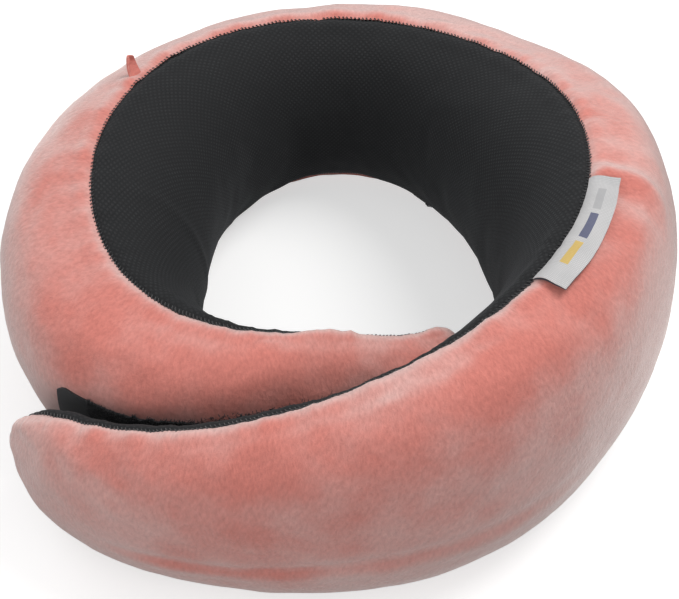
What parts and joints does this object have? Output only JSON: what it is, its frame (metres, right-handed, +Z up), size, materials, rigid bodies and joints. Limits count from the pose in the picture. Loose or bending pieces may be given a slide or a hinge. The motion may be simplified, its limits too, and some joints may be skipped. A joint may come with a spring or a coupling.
{
  "type": "u shaped neck pillow",
  "caption": "Wrap-around memory-foam neck pillow: a curved band whose outer arm laps over the inner arm, with plush outside, mesh lining inside, hook-and-loop fastening and a zip.",
  "frame": {"origin": "middle of the footprint, on the surface the pillow stands on", "axes": "+Z up, +Y towards the back of the wearer's neck, +X towards the wearer's side on which the outer arm starts; the arms lap at -Y"},
  "size_m": [0.2731, 0.2728, 0.123],
  "materials": {
    "foam": "open-cell memory foam",
    "liner_knit": "thin white knit",
    "plush": "short salmon velour",
    "lining_mesh": "charcoal mesh knit",
    "seam_thread": "overlocked thread",
    "label_satin": "woven satin",
    "loop_fabric": "brushed nylon loops",
    "hook_fabric": "moulded nylon hooks",
    "zip_tape": "woven tape",
    "zip_coil": "nylon coil",
    "zip_metal": "dark enamel"
  },
  "bodies": {
    "back": {"foam_back": "foam", "liner_back": "liner_knit", "plush_back": "plush", "lining_back": "lining_mesh", "top_seam_back": "seam_thread", "lower_seam_back_right": "seam_thread", "lower_seam_back_left": "seam_thread", "seam_tab": "plush", "zip_tape_upper": "zip_tape", "zip_tape_lower": "zip_tape", "zip_teeth_upper": "zip_coil", "zip_teeth_lower": "zip_coil", "zip_end_stop_right": "zip_metal", "zip_end_stop_left": "zip_metal"},
    "outer_arm": {"foam_outer_arm": "foam", "liner_outer_arm": "liner_knit", "plush_outer_arm": "plush", "lining_outer_arm": "lining_mesh", "top_seam_outer_arm": "seam_thread", "lower_seam_outer_arm": "seam_thread", "side_label": "label_satin"},
    "outer_tip": {"foam_outer_tip": "foam", "liner_outer_tip": "liner_knit", "plush_outer_tip": "plush", "lining_outer_tip": "lining_mesh", "top_seam_outer_tip": "seam_thread", "lower_seam_outer_tip": "seam_thread", "hook_patch": "hook_fabric"},
    "inner_arm": {"foam_inner_arm": "foam", "liner_inner_arm": "liner_knit", "plush_inner_arm": "plush", "lining_inner_arm": "lining_mesh", "top_seam_inner_arm": "seam_thread", "lower_seam_inner_arm": "seam_thread", "loop_patch": "loop_fabric"},
    "zip_slider": {"zip_slider": "zip_metal"},
    "zip_pull": {"zip_pull": "zip_metal"}
  },
  "joints": [
    {"name": "outer_arm_open", "type": "hinge", "parent": "back", "child": "outer_arm", "pos_m": [0.1369, 0.002, 0.0576], "axis": [0, 0, 1], "range_deg": [0, 45], "stiffness_Nm_per_rad": 0.5},
    {"name": "outer_tip_peel", "type": "hinge", "parent": "outer_arm", "child": "outer_tip", "pos_m": [0.0376, -0.1314, 0.0553], "axis": [0, 0, 1], "range_deg": [0, 40], "stiffness_Nm_per_rad": 0.3},
    {"name": "inner_arm_open", "type": "hinge", "parent": "back", "child": "inner_arm", "pos_m": [-0.1361, 0, 0.046], "axis": [0, 0, 1], "range_deg": [-20, 0], "stiffness_Nm_per_rad": 0.5},
    {"name": "zip_slide", "type": "hinge", "parent": "back", "child": "zip_slider", "pos_m": [0.0015, 0.0308, 0.0062], "axis": [0, 0, 1], "range_deg": [0, 96]},
    {"name": "zip_pull_swing", "type": "hinge", "parent": "zip_slider", "child": "zip_pull", "pos_m": [0.0449, 0.07071, 0.00556], "axis": [-0.5205, -0.4786, 0.7071], "range_deg": [0, 150]}
  ],
  "couplings": [
    {"joint": "inner_arm_open", "follows": "outer_arm_open", "ratio": -0.4}
  ]
}
